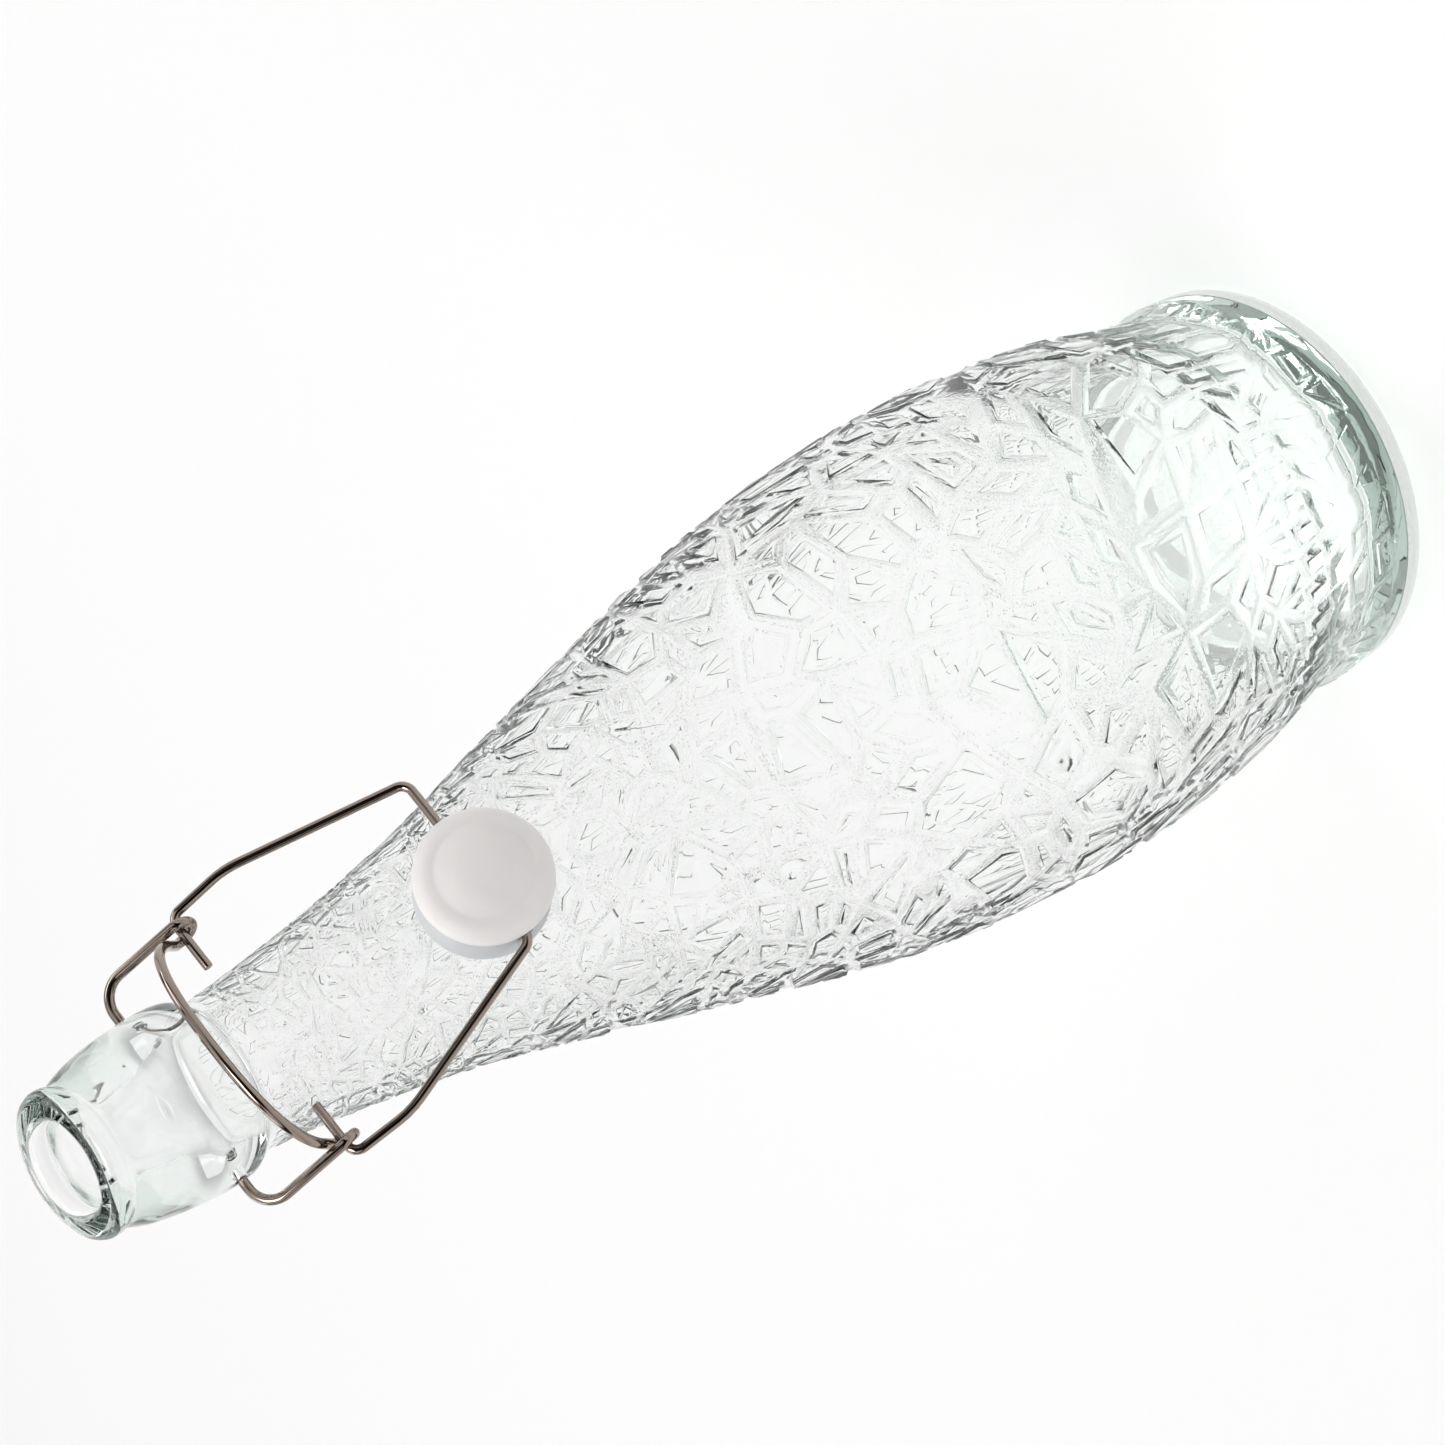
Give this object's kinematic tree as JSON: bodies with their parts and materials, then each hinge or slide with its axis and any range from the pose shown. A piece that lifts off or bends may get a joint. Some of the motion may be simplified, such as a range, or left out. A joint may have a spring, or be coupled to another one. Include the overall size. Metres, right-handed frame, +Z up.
{
  "type": "swing-top growler bottle",
  "caption": "Tall glass growler with a crackle-relief body and a wire swing-top closure, whose lever, bail and domed stopper hang on the front of the neck.",
  "frame": {"origin": "centre of the base, on the plane that the bottle stands on", "axes": "+Z up along the bottle's axis to the mouth; the closure hangs on the front, which faces -Y; the closure's pivot axis runs along X"},
  "size_m": [0.0988, 0.0988, 0.31],
  "materials": {
    "clear_glass": "clear soda-lime glass with a faint green tint, fire-polished, moulded crackle relief",
    "steel_wire": "bright drawn stainless steel wire",
    "cap_plastic": "white moulded plastic, satin",
    "seal_silicone": "greyish white translucent silicone, matte"
  },
  "bodies": {
    "bottle": {"glass_bottle": "clear_glass"},
    "lever": {"lever_wire": "steel_wire"},
    "bail": {"bail_wire": "steel_wire"},
    "stopper": {"stopper_cap": "cap_plastic", "stopper_seal": "seal_silicone"}
  },
  "joints": [
    {"name": "lever_pivot", "type": "hinge", "parent": "bottle", "child": "lever", "pos_m": [0, 0, 0.284], "axis": [-1, 0, 0], "range_deg": [0, 36]},
    {"name": "bail_pivot", "type": "hinge", "parent": "lever", "child": "bail", "pos_m": [0, -0.011, 0.2698], "axis": [-1, 0, 0], "range_deg": [0, 131]},
    {"name": "stopper_turn", "type": "hinge", "parent": "bail", "child": "stopper", "pos_m": [0, -0.0353, 0.23015], "axis": [1, 0, 0], "range_deg": [0, 97]}
  ]
}
